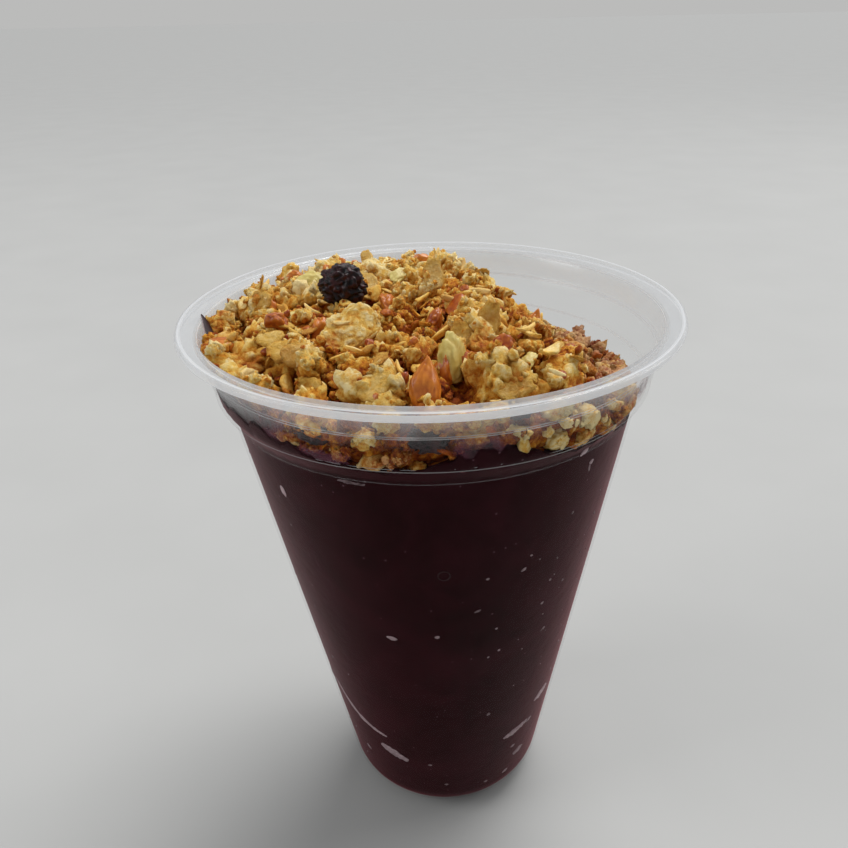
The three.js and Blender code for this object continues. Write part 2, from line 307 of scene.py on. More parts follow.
# The mirror share grows steeply towards a grazing view, alike on both faces of the wall.
mirror = calc(tree, "MULTIPLY_ADD", calc(tree, "POWER", slant, 4.5), calc(tree, "MULTIPLY_ADD", free_wall, 0.80, 0.06),
              calc(tree, "MULTIPLY", free_wall, 0.022))
# What haze there is low down takes the acai's colour.
milk = mix_colours(tree, map_range(tree, height, 101 * MM, 107 * MM), "#B4787E", "#F2F4F6")
milky_front = body(tree, milk, 0.3, {"IOR": 1.49, "Normal": relief})
milky_through = add_node(tree, "ShaderNodeBsdfTranslucent", inputs={"Color": milk}).outputs["BSDF"]
show(tree, mix_shaders(tree, haze_and_highlight, mix_shaders(tree, mirror, clear, gloss),
                       mix_shaders(tree, 0.45, milky_front, milky_through)))

CREASES = [(40.1, 107.75), (42.15, 111.1), (39.5, 108.0), (41.5, 111.3)]
cup_bm = spin_profile(outside + lip + inside, CUP_ROUND_STEPS, 0.45, CREASES)
cup = piece_from(mesh_from(cup_bm, "cup_shell"), polypropylene)
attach(cup, "root")
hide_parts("cup")


def inner_radius(z_mm):
    """The radius in mm of the wall's inside at a height in mm; works on numbers and arrays."""
    return np.interp(z_mm, [z for _, z in WALL_INSIDE], [r for r, _ in WALL_INSIDE])


# ---- Acai --------------------------------------------------------------------------------------
# Blended frozen acai pulp, nearly black purple-brown, that fills the cup and clings to its wall. It
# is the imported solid's shape made fine, pressed a tenth of a millimetre into the wall's thickness.
def fine_copy(node_name, cuts):
    """A merged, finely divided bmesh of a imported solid."""
    bm = bmesh.new()
    bm.from_mesh(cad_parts[node_name].data)
    bmesh.ops.remove_doubles(bm, verts=bm.verts[:], dist=2e-6)
    bmesh.ops.subdivide_edges(bm, edges=bm.edges[:], cuts=cuts, use_grid_fill=True)
    return bm


def surface_of(mesh):
    """A search tree over a mesh's surface."""
    bm = bmesh.new()
    bm.from_mesh(mesh)
    found = BVHTree.FromBMesh(bm)
    bm.free()
    return found


acai_surface = surface_of(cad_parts["acai"].data)
heap_surface = surface_of(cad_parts["granola"].data)


def top_of(surface, x_mm, y_mm):
    """The height in mm and the normal of a surface's top at a place, or None beside it."""
    place, normal, _, _ = surface.ray_cast(Vector((x_mm * MM, y_mm * MM, 0.2)), Vector((0, 0, -1)))
    return None if place is None else (place.z / MM, normal)


# Dark pulp with faint lighter and redder clouds, tiny pale ice crystals, and a satin wet surface.
acai_cream, tree, place = new_material("frozen acai cream")
pulp = ramp(tree, noise_share(tree, place, 70.0, 6.0, 0.6, 0.8), ((0.30, "#1A0607"), (0.75, "#301016")))
crystals = add_node(tree, "ShaderNodeTexVoronoi", inputs={"Vector": place, "Scale": 520.0})
crystal_pick = add_node(tree, "ShaderNodeSeparateColor", inputs={"Color": crystals.outputs["Color"]})
crystal = calc(tree, "MULTIPLY", calc(tree, "LESS_THAN", crystals.outputs["Distance"], 0.10),
               calc(tree, "GREATER_THAN", crystal_pick.outputs["Red"], 0.82))
show(tree, body(tree, mix_colours(tree, calc(tree, "MULTIPLY", crystal, 0.35), pulp, "#8A6A74"), 0.40, {
    "IOR": 1.38, "Specular IOR Level": 0.05, "Sheen Weight": 0.30, "Sheen Roughness": 0.34,
    "Sheen Tint": "#E8707E", "Normal": bump(tree, noise_share(tree, place, 1 / (2.5 * MM), 1.0), 0.2, 0.3)}))

FILL_INTO_WALL_MM = 0.1
BASE_ROUND_TOP_MM = 8.75
bm = fine_copy("acai", 3)
for v in bm.verts:
    x, y, z = v.co / MM
    r = math.hypot(x, y)
    if z < BASE_ROUND_TOP_MM:
        # On the base's round the fill is pushed straight away from the round's own centre.
        if r > FOOT_OUTER_MM:
            out = Vector((r - FOOT_OUTER_MM, z - BASE_ROUND_MM)).normalized()
            out *= BASE_ROUND_MM - WALL_MM + FILL_INTO_WALL_MM
            new_r = FOOT_OUTER_MM + out.x
            v.co = Vector((x / r * new_r, y / r * new_r, BASE_ROUND_MM + out.y)) * MM
    elif r > float(inner_radius(z)) - 0.9:
        # The upper edge is torn by the granola pressed into it.
        ragged = min(1.0, max(0.0, (z - 105.5) / 4.0))
        z += ragged * (1.7 * noise.fractal(Vector((x, y, 3)) * 0.22, 0.8, 2.0, 3)
                       + 0.8 * noise.noise(Vector((x, y, 9)) * 0.8))
        wall = float(inner_radius(z)) + FILL_INTO_WALL_MM
        v.co = Vector((x / r * wall, y / r * wall, z)) * MM
    else:
        v.co.z += 0.5 * noise.fractal(Vector((x, y, 0)) * 0.25, 1.0, 2.0, 3) * MM
acai = piece_from(mesh_from(bm, "acai_cream_fill"), acai_cream)
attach(acai, "root")
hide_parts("acai")

# ---- Granola core ------------------------------------------------------------------------------
# The packed, crumbly middle of the granola: baked oat crumb held together with honey. It is the
# packed heap drawn in by a few millimetres, in crumb relief, and the loose pieces lie in it and on it.
def crumb_material(name, ramp_hex, honey_hex, soaked_hex):
    """Baked crumb: darker hollows and paler tops by each point's shade, which holds painted shade and light as well as
    toast, with honey and acai stains.
    """
    material, tree, place = new_material(name)
    # Fine grains, in toasted patches, under larger patches of honey.
    grains = noise_share(tree, place, 1 / (0.7 * MM), 6.0, 0.7)
    patches = noise_share(tree, place, 1 / (3.0 * MM), 3.0, 0.55)
    honey = map_range(tree, noise_share(tree, place, 1 / (5.0 * MM), 2.0), 0.50, 0.72, 0.0, 0.60)
    graininess = attribute(tree, "grain")
    both = calc(tree, "ADD", calc(tree, "MULTIPLY", calc(tree, "MULTIPLY_ADD", grains, 1.05, -0.525), graininess),
                calc(tree, "MULTIPLY_ADD", patches, 0.60, -0.30))
    # The toast takes in the shade attribute, with its painted shade in the hollows and painted light on the tops.
    toast_and_painted_shade = calc(tree, "ADD", both, attribute(tree, "shade"), clamp=True)
    baked = ramp(tree, toast_and_painted_shade, [(i / (len(ramp_hex) - 1), colour) for i, colour in enumerate(ramp_hex)])
    # The palest tops stay free of honey.
    honey_share = calc(tree, "MULTIPLY", honey, calc(tree, "MULTIPLY_ADD", toast_and_painted_shade, -1.6, 1.7, clamp=True))
    honeyed = mix_colours(tree, honey_share, baked, honey_hex)
    # Acai soaks into blotches coloured by the same shade: dark red in the hollows, darkened there by painted shade too,
    # and dusty pink on the tops.
    soaked = ramp(tree, toast_and_painted_shade, list(zip((0.20, 0.50, 0.90), soaked_hex)))
    stain_share = calc(tree, "MULTIPLY", attribute(tree, "stain"), calc(tree, "MULTIPLY", patches, 1.6), clamp=True)
    roughness = map_range(tree, honey, 0.0, 0.55, 0.78, 0.42)
    show(tree, body(tree, mix_colours(tree, stain_share, honeyed, soaked), roughness, {
        "IOR": 1.45, "Specular IOR Level": 0.25, "Normal": bump(tree, grains, graininess, 0.65)}))
    return material


granola_crumb = crumb_material("baked oat and honey crumb", ["#561802", "#9C4404", "#D88E24", "#F2C662", "#FEE6A6"],
                               "#B45610", ["#400C06", "#92381C", "#D8A478"])


def smooth_step(t):
    """From 0 up to 0 to 1 from 1 on, easing in and out."""
    t = min(1.0, max(0.0, t))
    return t * t * (3 - 2 * t)


def sunken_share(x_mm, y_mm):
    """From 0 on the high side of the heap to 1 where it has sunk, towards the back right."""
    return smooth_step((x_mm * math.cos(math.radians(20)) + y_mm * math.sin(math.radians(20)) - 16) / 12)


def stained_share(x_mm, y_mm):
    """From 0 on dry granola to 1 where acai has soaked it, on the right."""
    return smooth_step((x_mm + 0.15 * y_mm - 19) / 6)


def read(items, key, width=1, kind=np.float64):
    """What a mesh's items say under a key, as an array with so many numbers in a row."""
    values = np.empty(len(items) * width, dtype=kind)
    items.foreach_get(key, values)
    return values.reshape(-1, width) if width > 1 else values


def keep_inside_wall(mesh, clearance_mm=0.12):
    """Presses what would reach through the cup's wall flat against its inside."""
    co = read(mesh.vertices, "co", 3, np.float32)
    r = np.hypot(co[:, 0], co[:, 1]) / MM
    limit = np.minimum(inner_radius(co[:, 2] / MM), 43.6) - clearance_mm
    co[:, :2] *= np.where(r > limit, limit / np.maximum(r, 1e-6), 1.0)[:, None]
    mesh.vertices.foreach_set("co", co.ravel())
    mesh.update()


def add_shades(mesh, shade, stain=0.0, grain=1.0):
    """Gives every point its shade, which holds toast and painted light and shade, its acai stain and its graininess;
    each is a number or one per point.
    """
    for name, value in (("shade", shade), ("stain", stain), ("grain", grain)):
        layer = mesh.attributes.get(name) or mesh.attributes.new(name, "FLOAT", "POINT")
        values = np.full(len(mesh.vertices), value) if np.isscalar(value) else np.asarray(value)
        layer.data.foreach_set("value", values.astype(np.float32))


def creases(point, offset=Vector(), sharp=2.4):
    """From 0 in the crease between two baked grains to 1 on a grain's top."""
    near = noise.voronoi(point + offset)[0]
    return min(1.0, (near[1] - near[0]) * sharp)


CORE_LOWERED_MM = 5.0
AT_WALL_MM = 1.2
bm = fine_copy("granola", 5)
shade_values, stain_values = [], []
for v in bm.verts:
    x, y, z = v.co / MM
    r = math.hypot(x, y)
    wall = float(inner_radius(z))
    clod = creases(Vector((x, y, z)) * 0.34)
    grain = creases(Vector((x, y, z)) * 0.9)
    lump = noise.fractal(Vector((x, y, z)) * 0.16, 1.0, 2.0, 3)
    acai_top = top_of(acai_surface, x, y)
    above = z - acai_top[0] if acai_top else 9.0
    low = sunken_share(x, y)
    if above > 0.9 and r < wall - AT_WALL_MM:
        z = max(z - CORE_LOWERED_MM * (1 - 0.6 * low) + 0.9 * lump + 1.1 * (clod - 0.5) + 0.5 * grain, z - above - 0.1)
    elif r >= wall - AT_WALL_MM:
        pulled = wall - 2.0 + 0.9 * (clod - 0.5) + 0.5 * grain + 0.5 * lump
        x, y = x / r * pulled, y / r * pulled
        z -= 3.0 * min(1.0, max(0.0, above / 8))
    v.co = Vector((x, y, z)) * MM
    # The core is darker than the clusters and darker still in its creases: painted shade where it shows between the
    # pieces.
    shade_values.append(0.10 + 0.20 * clod + 0.16 * grain)
    stain_values.append(min(1.3, max(0.0, 1.5 - above / 1.8)) + 1.5 * low)
core = piece_from(mesh_from(bm, "granola_core"), granola_crumb)
add_shades(core.data, shade_values, stain_values)
keep_inside_wall(core.data)
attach(core, "root")
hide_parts("granola")

# ---- Granola clusters --------------------------------------------------------------------------
# Oat flakes and crumb that honey has baked into lumps as big as a hazelnut. Each kind is a few
# modelled lumps, turned, sized and given different shades, of toast and of painted light and shade,
# and settled on what already lies below.
dice = random.Random(41)


def gauss_direction(source):
    """A random direction with no favoured side."""
    return Vector((source.gauss(0, 1), source.gauss(0, 1), source.gauss(0, 1))).normalized()


def lump_mesh(seed, detail, scale, broad=0.26, clods=0.34, grains=0.12, flats=3, rim=0.0, shade=0.0, pointed=0.0):
    """An uneven lump about one unit in half length: clods and grains stuck together, with broken sides."""
    bm = bmesh.new()
    bmesh.ops.create_icosphere(bm, subdivisions=detail, radius=1.0)
    own_dice = random.Random(seed)
    offset = Vector((seed * 7.31, seed * 3.17, seed * 5.73))
    broken = [gauss_direction(own_dice) for _ in range(flats)]
    shades = []
    for v in bm.verts:
        p = v.co.copy()
        clod = creases(p * 1.7, offset)
        grain = creases(p * 4.6, offset)
        swell = 1 + broad * noise.fractal(p * 1.1 + offset, 1.0, 2.0, 3) + clods * (clod - 0.55)
        swell += grains * (grain - 0.5) + 0.045 * noise.noise(p * 12 + offset)
        q = p * swell
        for side in broken:
            over = q.dot(side) - 0.66
            if over > 0:
                q -= side * over * 0.8
        narrow = 1 - pointed * max(0.0, q.x) ** 1.3
        q = Vector((q.x, q.y * narrow, q.z * narrow))
        edge = min(1.0, math.hypot(q.x, q.y))
        lift = rim * max(0.0, edge - 0.62)
        v.co = Vector((q.x * scale[0], q.y * scale[1], q.z * scale[2] + (lift if q.z > 0 else 0)))
        # Darker in the creases between clods and grains and paler on their tops: painted shade and painted light.
        shades.append(0.20 + shade + 0.32 * clod + 0.20 * grain + 0.25 * rim * edge)
    mesh = mesh_from(bm, "lump")
    add_shades(mesh, shades)
    return mesh


def flake_mesh(seed, detail, width, thickness, shade=0.74, grain=0.45):
    """A rolled oat or a sliver: a thin oval about one unit in half length, creased and curled."""
    bm = bmesh.new()
    bmesh.ops.create_icosphere(bm, subdivisions=detail, radius=1.0)
    offset = Vector((seed * 2.9, seed * 4.3, seed * 1.7))
    curl = 0.14 + 0.14 * math.sin(seed * 12.9)
    shades = []
    for v in bm.verts:
        p = v.co.copy()
        outline = 1 + 0.28 * noise.noise(Vector((p.x, p.y, 0)) * 1.9 + offset)
        outline += 0.10 * noise.noise(Vector((p.x, p.y, 5)) * 5 + offset)
        x, y = p.x * outline, p.y * width * outline
        crease = -0.06 * math.exp(-(p.y / 0.17) ** 2) * (1 - p.x * p.x)
        edge = p.x * p.x + p.y * p.y
        z = p.z * thickness * (1 + 0.5 * edge) * (1 + 0.3 * noise.noise(p * 3.0 + offset)) + crease
        v.co = Vector((x, y, z + curl * x * x - 0.12 * y * y + 0.035 * noise.noise(p * 4.0 + offset)))
        shades.append(shade - 0.22 * edge ** 3 + 0.10 * noise.noise(p * 2.5 + offset))
    mesh = mesh_from(bm, "flake")
    add_shades(mesh, shades, 0.0, grain)
    return mesh


def turned(direction, spin):
    """A rotation that lays a piece's Z along a direction and then spins it."""
    return Vector(direction).to_track_quat("Z", "Y").to_matrix().to_4x4() @ Matrix.Rotation(spin, 4, "Z")


def random_turn():
    """A rotation with no favoured direction."""
    return turned(gauss_direction(dice), dice.uniform(0, 6.283))


def leaning_turn(normal, lean):
    """A rotation that lays a piece flat on a slope, leaning by chance."""
    return turned((Vector(normal) + gauss_direction(dice) * lean).normalized(), dice.uniform(0, 6.283))


ATTRIBUTES = ("shade", "stain", "grain")


def join_meshes(name, parts):
    """One mesh from (mesh, matrix, shade change, stain) parts, each used as often as it appears."""
    coords, loops, starts, totals = [], [], [], []
    values = {key: [] for key in ATTRIBUTES}
    first_vert = first_loop = 0
    known = {}
    for mesh, matrix, lighter, stain in parts:
        if mesh.name not in known:
            known[mesh.name] = (read(mesh.vertices, "co", 3),
                                [read(mesh.attributes[key].data, "value") for key in ATTRIBUTES],
                                read(mesh.loops, "vertex_index", kind=np.int64),
                                read(mesh.polygons, "loop_start", kind=np.int64),
                                read(mesh.polygons, "loop_total", kind=np.int64))
        co, layers, loop, start, total = known[mesh.name]
        m = np.array(matrix)
        coords.append(co @ m[:3, :3].T + m[:3, 3])
        for key, layer, change in zip(ATTRIBUTES, layers, (lighter, stain, 0.0)):
            values[key].append(layer + change)
        loops.append(loop + first_vert)
        starts.append(start + first_loop)
        totals.append(total)
        first_vert += len(co)
        first_loop += len(loop)
    joined = bpy.data.meshes.new(name)
    joined.vertices.add(first_vert)
    joined.vertices.foreach_set("co", np.concatenate(coords).ravel())
    joined.loops.add(first_loop)
    joined.loops.foreach_set("vertex_index", np.concatenate(loops))
    joined.polygons.add(sum(len(t) for t in totals))
    joined.polygons.foreach_set("loop_start", np.concatenate(starts))
    joined.polygons.foreach_set("loop_total", np.concatenate(totals))
    joined.update(calc_edges=True)
    add_shades(joined, *[np.concatenate(values[key]) for key in ATTRIBUTES])
    return joined


def painted_light_towards_back(y_mm):
    """How much paler the heap is painted towards its back: painted light on the back, which the lamps light less than
    the front.
    """
    return min(0.12, max(0.0, 0.12 * (y_mm + 6) / 18))


def scatter_piece(name, parts, material, smooth=True):
    """A piece of scattered bits: joined, pressed inside the wall, and riding on the cup's body."""
    # Each bit is painted paler towards the back of the heap: painted light.
    mesh = join_meshes(name, [(shape, where, lighter + painted_light_towards_back(where.translation.y / MM), stain)
                              for shape, where, lighter, stain in parts])
    keep_inside_wall(mesh)
    obj = piece_from(mesh, material, smooth)
    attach(obj, "root")
    return obj


def placed(x_mm, y_mm, z_mm, turn, size_mm):
    """The matrix that puts a unit shape at a place, turned and sized."""
    return Matrix.Translation(Vector((x_mm, y_mm, z_mm)) * MM) @ turn @ Matrix.Scale(size_mm * MM, 4)


def cluster_mesh(seed, detail, scale, clumps, flakes, slivers, granules, **lump):
    """A cluster: baked clumps stuck together, with oat flakes, slivers and single crumbs on them."""
    own_dice = random.Random(seed + 500)
    parts = [(lump_mesh(seed, detail, scale, **lump), Matrix.Scale(0.80 if clumps else 1.0, 4),
              -0.06 if clumps else 0.0, 0.0)]

    def on_body(mesh, size, depth, lean, lighter):
        out = gauss_direction(own_dice)
        along = (out + gauss_direction(own_dice) * lean).normalized()
        spot = Vector((out.x * scale[0], out.y * scale[1], out.z * scale[2])) * depth
        parts.append((mesh, Matrix.Translation(spot) @ turned(along, own_dice.uniform(0, 6.28))
                      @ Matrix.Scale(size, 4), lighter, 0.0))

    for i in range(clumps):
        on_body(lump_mesh(seed * 30 + i, 3, (1, 0.82, 0.70), 0.32, 0.42, 0.18, 3, 0, 0.10),
                own_dice.uniform(0.30, 0.50), 0.66, 1.0, own_dice.uniform(-0.10, 0.12))
    for i in range(flakes):
        on_body(flake_mesh(seed * 10 + i, 3, 0.72, 0.19, shade=0.66, grain=0.7),
                own_dice.uniform(0.30, 0.46), 0.95, 0.30, own_dice.uniform(-0.12, 0.10))
    for i in range(slivers):
        on_body(flake_mesh(seed * 15 + i, 2, 0.24, 0.16), own_dice.uniform(0.25, 0.45), 0.98,
                0.5, own_dice.uniform(-0.08, 0.12))
    for i in range(granules):
        on_body(lump_mesh(seed * 20 + i, 2, (1, 0.85, 0.7), flats=2),
                own_dice.uniform(0.10, 0.20), 1.0, 1.0, own_dice.uniform(-0.25, 0.22))
    return join_meshes("cluster", parts)


large_lumps = [cluster_mesh(3 + i, 4, (1.0, 0.74 + 0.05 * (i % 5), 0.56 + 0.07 * (i % 4)),
                            8, 1 + i % 2, 1 + i % 2, 10, shade=0.10) for i in range(9)]
disc_lump = cluster_mesh(77, 5, (1.0, 0.84, 0.26), 0, 0, 2, 4,
                         broad=0.22, clods=0.08, grains=0.07, flats=1, rim=0.30, shade=0.14)
medium_lumps = [cluster_mesh(31 + i, 3, (1.0, 0.66 + 0.08 * (i % 4), 0.54 + 0.08 * (i % 3)),
                             4, i % 2, i % 2, 2) for i in range(9)]
small_lumps = [lump_mesh(61 + i, 3, (1.0, 0.75, 0.58 + 0.06 * i), 0.34, 0.40, 0.15) for i in range(7)]
oat_flakes = [flake_mesh(91 + i, 3, 0.66 + 0.05 * (i % 4), 0.14, shade=0.60, grain=1.1) for i in range(7)]
slivers = [flake_mesh(101 + i, 2, 0.20 + 0.04 * (i % 3), 0.13) for i in range(5)]

# A height map of the filled cup, in mm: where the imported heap's top is, and what lies there so far.
CELL_MM = 0.5
REACH_MM = 43.0
span = np.arange(-REACH_MM, REACH_MM + CELL_MM / 2, CELL_MM)
grid_x, grid_y = np.meshgrid(span, span, indexing="ij")


def height_map(surface):
    """The heights in mm of a surface's top over the grid, with nothing beside it."""
    heights = np.full(grid_x.shape, np.nan)
    for i, j in np.ndindex(grid_x.shape):
        if grid_x[i, j] ** 2 + grid_y[i, j] ** 2 < REACH_MM ** 2:
            found = top_of(surface, grid_x[i, j], grid_y[i, j])
            if found:
                heights[i, j] = found[0]
    return heights


target = height_map(heap_surface)
filled = height_map(surface_of(core.data))
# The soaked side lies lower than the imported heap's edge there.
SOAKED_DROP_MM = 2.2
for i, j in np.ndindex(grid_x.shape):
    soaked = stained_share(grid_x[i, j], grid_y[i, j])
    target[i, j] -= SOAKED_DROP_MM * soaked * (1 - sunken_share(grid_x[i, j], grid_y[i, j]))
packed_top = target.copy()


def settle(x, y, half, flatness, proud):
    """Rests a lump on what lies there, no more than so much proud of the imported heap, and notes it."""
    away = np.hypot(grid_x - x, grid_y - y)
    near = (away < 0.8 * half) & ~np.isnan(filled) & ~np.isnan(target)
    if not near.any():
        return None
    half_height = half * flatness
    middle = min(np.percentile(filled[near], 70) + 0.25 * half_height, target[near].mean() + proud - half_height)
    reach = 0.85 * half
    dome = middle + half_height * np.sqrt(np.clip(1 - (away / reach) ** 2, 0, 1))
    covered = (away < reach) & ~np.isnan(filled)
    filled[covered] = np.maximum(filled[covered], dome[covered])
    return middle


def random_spot(reach):
    """A random place within a reach of the cup's axis, in mm."""
    r, bearing = reach * math.sqrt(dice.random()), dice.uniform(0, 6.283)
    return r * math.cos(bearing), r * math.sin(bearing)


def low_spot(half, tries=16):
    """Of several random places in the cup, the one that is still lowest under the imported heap."""
    best = None
    for _ in range(tries):
        x, y = random_spot(41.5 - 0.5 * half)
        near = np.hypot(grid_x - x, grid_y - y) < 0.7 * half
        gap = np.nanmean((target - filled)[near])
        if best is None or gap > best[0]:
            best = (gap, x, y)
    return best[1], best[2]


# The clusters that make the heap's outline: x, y, half length, how far proud of the heap, facing, shade.
UP = (0, 0, 1)
FORWARD = (0.05, -0.75, 0.75)
OUTLINE_CLUSTERS = [
    (-33, -17.5, 7.0, 1.8, (-0.4, -0.5, 0.8), 0.04), (-8.5, -33, 7.0, 2.0, FORWARD, 0.06),
    (10.5, -31.5, 7.4, 2.4, FORWARD, 0.07), (7, -17, 7.4, 3.0, FORWARD, 0.03), (-23, -22.5, 6.8, 1.8, FORWARD, 0.07),
    (-25.5, 8, 7.0, 2.0, UP, 0.08), (-33, 3, 6.0, 1.2, (-0.6, 0, 0.8), 0.02), (-12, 20, 6.6, 2.0, UP, 0.10),
    (0.5, 19, 6.4, 2.4, UP, 0.06), (10, 13, 6.0, 0.8, (0.6, 0, 0.8), 0.02), (9, -3, 6.2, 2.2, FORWARD, 0.00),
    (-1, 5, 6.0, 2.0, UP, 0.06), (15.5, -13, 5.6, 0.8, (0.6, -0.4, 0.7), -0.02), (20, -30, 5.8, 1.2, FORWARD, 0.06),
    (-28, -29, 5.6, 1.2, FORWARD, 0.00), (-22, 24, 6.2, 1.6, (-0.3, 0.5, 0.8), 0.05), (3, 31, 5.8, 1.2, UP, 0.02),
    (-38, -9, 5.0, 1.2, (-0.8, -0.2, 0.6), 0.00), (-19, -34, 5.2, 0.8, FORWARD, 0.04), (-35, 16, 5.6, 1.2, UP, 0.04),
    (-10, 33, 5.6, 1.2, UP, 0.05), (-12, -26, 5.0, 0.8, FORWARD, 0.00), (-22, -9, 4.6, 0.4, FORWARD, -0.06),
    (15, -22, 5.0, 1.2, FORWARD, 0.03), (-8, -22, 4.6, 1.2, FORWARD, 0.02), (-30, -8, 5.0, 1.2, FORWARD, 0.02),
    (-36.5, 7, 5.2, 1.2, UP, 0.06), (-30, 22, 5.4, 1.2, UP, 0.06), (-20, 33, 5.2, 1.0, UP, 0.04),
    (-3, 37, 4.8, 0.8, UP, 0.04), (9, 34, 4.8, 0.4, UP, 0.00), (-9, 11, 5.4, 1.4, UP, 0.06),
    (-18, 13, 5.0, 1.2, UP, 0.08),
]
# The raisin's nest stays low.
NEST_RADIUS_MM, NEST_DEPTH_MM = 5.5, 0.4
raisin_middle = (raisin_low + raisin_high) / 2
nest = np.hypot(grid_x - raisin_middle.x / MM, grid_y - raisin_middle.y / MM) < NEST_RADIUS_MM
target[nest] = np.minimum(target[nest], raisin_low.z / MM + NEST_DEPTH_MM)
parts = []
for i, (x, y, half, proud, facing, lighter) in enumerate(OUTLINE_CLUSTERS):
    middle = settle(x, y, half, 0.62, proud + (0.6 if y < 0 else 0.0))
    turn = leaning_turn(facing, 0.35)
    parts.append((large_lumps[i % len(large_lumps)], placed(x, y, middle, turn, half * 0.97), lighter + 0.04, 0.0))
# The round, flat cluster with a pale edge, facing forward in the middle of the heap.
settle(-13.5, -14.5, 5.8, 0.4, 1.4)
parts.append((disc_lump, placed(-13.6, -16.4, 124.8, turned((0.06, -0.72, 0.69), 0.4), 5.1), 0.04, 0.0))
large = scatter_piece("granola_large_clusters", parts, granola_crumb)

parts = []
for _ in range(20):
    half = dice.uniform(4.2, 5.8)
    x, y = low_spot(half, 24)
    half *= 1 - 0.4 * sunken_share(x, y)
    middle = settle(x, y, half, 0.62, dice.uniform(-0.8, 0.8))
    parts.append((dice.choice(large_lumps), placed(x, y, middle, random_turn(), half * 0.92),
                  dice.uniform(-0.08, 0.08), 1.3 * stained_share(x, y)))
filling = scatter_piece("granola_filling_clusters", parts, granola_crumb)


DISC_AT_MM, RAISIN_AT_MM = (-13.5, -15.0), (-15.5, -1.0)


def clear_of_landmarks(x, y, from_disc, from_raisin):
    """Whether a place keeps its distance in mm from the round, flat cluster and from the raisin."""
    return math.dist((x, y), DISC_AT_MM) > from_disc and math.dist((x, y), RAISIN_AT_MM) > from_raisin


def drop(shapes, x, y, half, flatness, prouds, lift, lighters, stain=0.0, stains=None):
    """Settles one of some shapes at a place; what is given as a pair is drawn between the two."""
    middle = settle(x, y, half, flatness, dice.uniform(*prouds) + lift)
    if middle is not None:
        parts.append((dice.choice(shapes), placed(x, y, middle, random_turn(), half), dice.uniform(*lighters),
                      stain * dice.uniform(*stains) if stains else stain))


parts = []
for _ in range(48):
    half = dice.uniform(2.8, 4.6)
    x, y = low_spot(half)
    low = sunken_share(x, y)
    drop(medium_lumps, x, y, half * (1 - 0.3 * low), 0.66, (-2.6, -0.2), 1.6 * low, (-0.12, 0.10),
         1.4 * stained_share(x, y), (0.7, 1.2))
# Some stand proud of the rest, paler than what lies between them.
for _ in range(40):
    half = dice.uniform(2.8, 4.6)
    x, y = random_spot(37)
    if clear_of_landmarks(x, y, 9.0, 9.0) and stained_share(x, y) <= 0.4:
        drop(medium_lumps, x, y, half, 0.66, (0.4, 1.8), 0.0, (0.02, 0.14))
medium = scatter_piece("granola_medium_clusters", parts, granola_crumb)

parts = []
for _ in range(90):
    half = dice.uniform(1.2, 2.4)
    x, y = low_spot(half, 6)
    drop(small_lumps, x, y, half, 0.7, (-3.0, -0.6), 2.2 * sunken_share(x, y), (-0.12, 0.16),
         1.4 * stained_share(x, y), (0.6, 1.2))
# The sunken part is finer: small, paler clusters soaked with acai.
for _ in range(170):
    half = dice.uniform(1.2, 2.7)
    r, bearing = 41 * math.sqrt(dice.uniform(0.22, 1.0)), math.radians(dice.uniform(-42, 66))
    x, y = r * math.cos(bearing), r * math.sin(bearing)
    soaked = stained_share(x, y)
    if soaked > 0.3:
        drop(small_lumps, x, y, half, 0.7, (0.2, 1.5), 0.0, (0.0, 0.24), soaked, (0.5, 1.3))
small = scatter_piece("granola_small_clusters", parts, granola_crumb)


def paint_shade_in_hollows(mesh):
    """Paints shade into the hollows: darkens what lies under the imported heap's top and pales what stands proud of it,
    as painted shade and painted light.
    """
    co = read(mesh.vertices, "co", 3) / MM
    cells = np.clip(np.rint((co[:, :2] + REACH_MM) / CELL_MM).astype(int), 0, len(span) - 1)
    proud = np.nan_to_num(co[:, 2] - packed_top[cells[:, 0], cells[:, 1]])
    layer = mesh.attributes["shade"].data
    shade = read(layer, "value") + np.clip(0.09 * (proud + 1.0), -0.36, 0.12)
    layer.foreach_set("value", shade.astype(np.float32))


# Painted shade in the heap's hollows and painted light on what stands proud.
for piece in (large, filling, medium, small):
    paint_shade_in_hollows(piece.data)

# ---- Oat flakes and slivers --------------------------------------------------------------------
# Loose rolled oats and shreds of oat on the clusters: thin, pale ovals, creased along the middle.
def surface_over(pieces):
    """A function that gives the height in mm and normal of the highest of several pieces at a place."""
    trees = [surface_of(piece.data) for piece in pieces]

    def highest(x_mm, y_mm):
        hits = [h for h in (top_of(t, x_mm, y_mm) for t in trees) if h]
        return max(hits, key=lambda h: h[0]) if hits else None

    return highest


def heap_place(reach):
    """A random place on the heap, clear of the raisin and of the round, flat cluster before it."""
    while True:
        x, y = random_spot(reach)
        if clear_of_landmarks(x, y, 7.0, 6.5):
            return x, y


oat_skin = crumb_material("baked rolled oat", ["#8A4A10", "#C68830", "#E0B050", "#EEC878", "#F6DCA0"],
                          "#C07A28", ["#4A0E0A", "#98402A", "#DCA880"])
heap_now = surface_over([core, large, filling, medium, small])
parts = []
for _ in range(34):
    x, y = heap_place(40.5)
    found = heap_now(x, y)
    if found and stained_share(x, y) < 0.6:
        half = dice.uniform(1.5, 2.5) * (1 - 0.4 * sunken_share(x, y))
        parts.append((dice.choice(oat_flakes), placed(x, y, found[0] + 0.15, leaning_turn(found[1], 0.5), half),
                      dice.uniform(-0.20, 0.10), 1.2 * stained_share(x, y)))
for _ in range(36):
    x, y = heap_place(41)
    found = heap_now(x, y)
    if found and stained_share(x, y) < 0.3:
        parts.append((dice.choice(slivers),
                      placed(x, y, found[0] + 0.2, leaning_turn(found[1], 0.8), dice.uniform(1.4, 3.2)),
                      dice.uniform(-0.15, 0.15), 1.2 * stained_share(x, y)))
